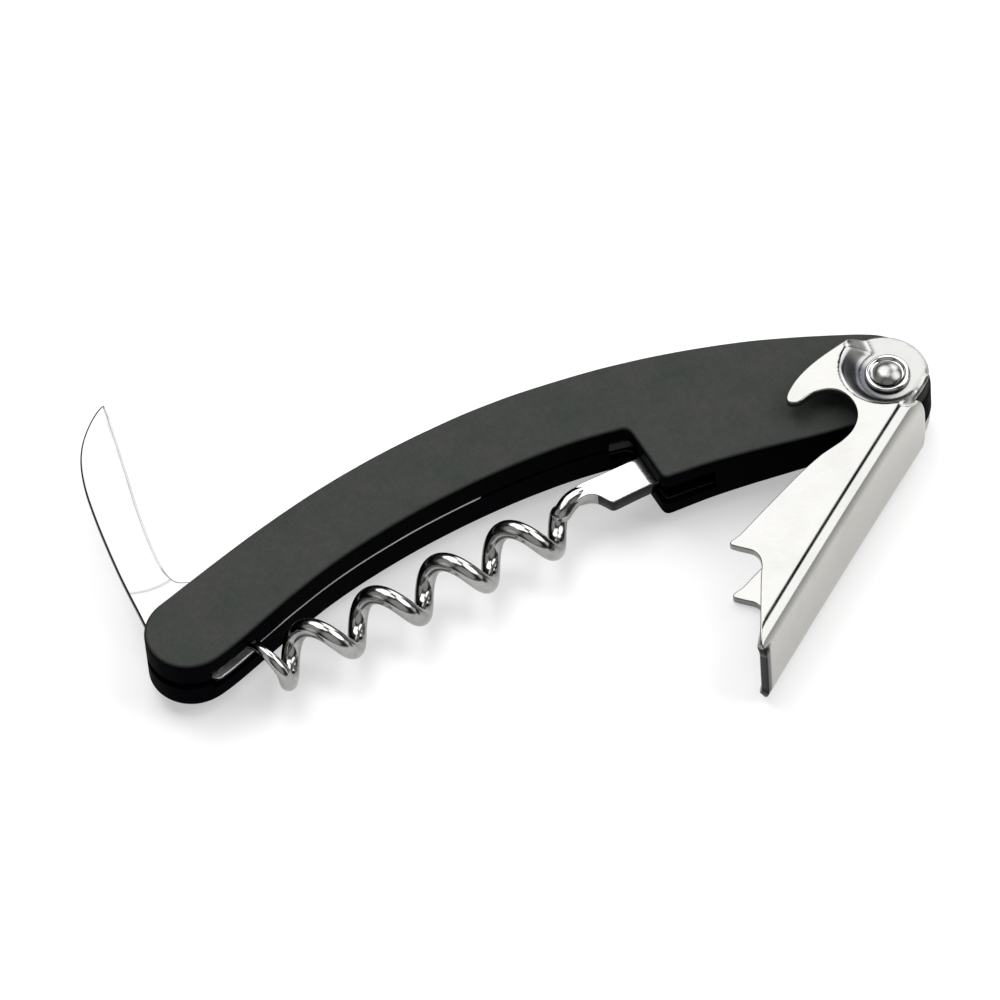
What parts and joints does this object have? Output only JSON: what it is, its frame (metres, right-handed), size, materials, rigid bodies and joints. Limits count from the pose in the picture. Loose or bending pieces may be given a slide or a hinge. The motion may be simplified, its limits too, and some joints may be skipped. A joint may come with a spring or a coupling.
{
  "type": "waiters corkscrew",
  "caption": "Pocket waiter's corkscrew: curved two-shell handle, folding foil knife, folding helical worm and a channel-section boot lever with cap-lifter hook.",
  "frame": {"origin": "centre of the rest-pose box in X and Y, at the outer face of the lever's rear cheek in Z", "axes": "+X along the handle chord from the knife end to the lever pivot, +Y to the handle's convex back, +Z through the thickness towards the front cover"},
  "size_m": [0.1122, 0.0758, 0.0135],
  "materials": {
    "black_plastic": "fine matt texture, charcoal black",
    "liner_steel": "blanked sheet steel",
    "spring_steel": "ground spring steel",
    "pin_steel": "turned steel",
    "blade_steel": "polished stainless, ground bevel",
    "washer_brass": "thin bearing washer",
    "worm_steel": "bright plated wire",
    "lever_steel": "bright plated pressed sheet",
    "rivet_steel": "polished rivet"
  },
  "bodies": {
    "handle": {"front_cover": "black_plastic", "rear_cover": "black_plastic", "front_liner": "liner_steel", "rear_liner": "liner_steel", "back_spring": "spring_steel", "spring_pin_knife_side": "pin_steel", "spring_pin_worm_side": "pin_steel", "knife_pin": "pin_steel", "knife_washer_front": "washer_brass", "knife_washer_rear": "washer_brass", "worm_pin": "pin_steel", "end_spacer": "liner_steel", "pivot_bush": "pin_steel", "lever_rivet": "rivet_steel", "rivet_washer_front": "rivet_steel", "rivet_washer_rear": "rivet_steel"},
    "knife": {"knife_blade": "blade_steel"},
    "worm": {"worm": "worm_steel"},
    "lever": {"lever": "lever_steel"}
  },
  "joints": [
    {"name": "knife_hinge", "type": "hinge", "parent": "handle", "child": "knife", "pos_m": [-0.05014, -0.00396, 0.00675], "axis": [0, 0, 1], "range_deg": [-66, 114]},
    {"name": "worm_hinge", "type": "hinge", "parent": "handle", "child": "worm", "pos_m": [0.01992, -0.00118, 0.00675], "axis": [0, 0, 1], "range_deg": [0, 70]},
    {"name": "lever_hinge", "type": "hinge", "parent": "handle", "child": "lever", "pos_m": [0.05032, -0.00237, 0.00675], "axis": [0, 0, 1], "range_deg": [0, 100]}
  ]
}
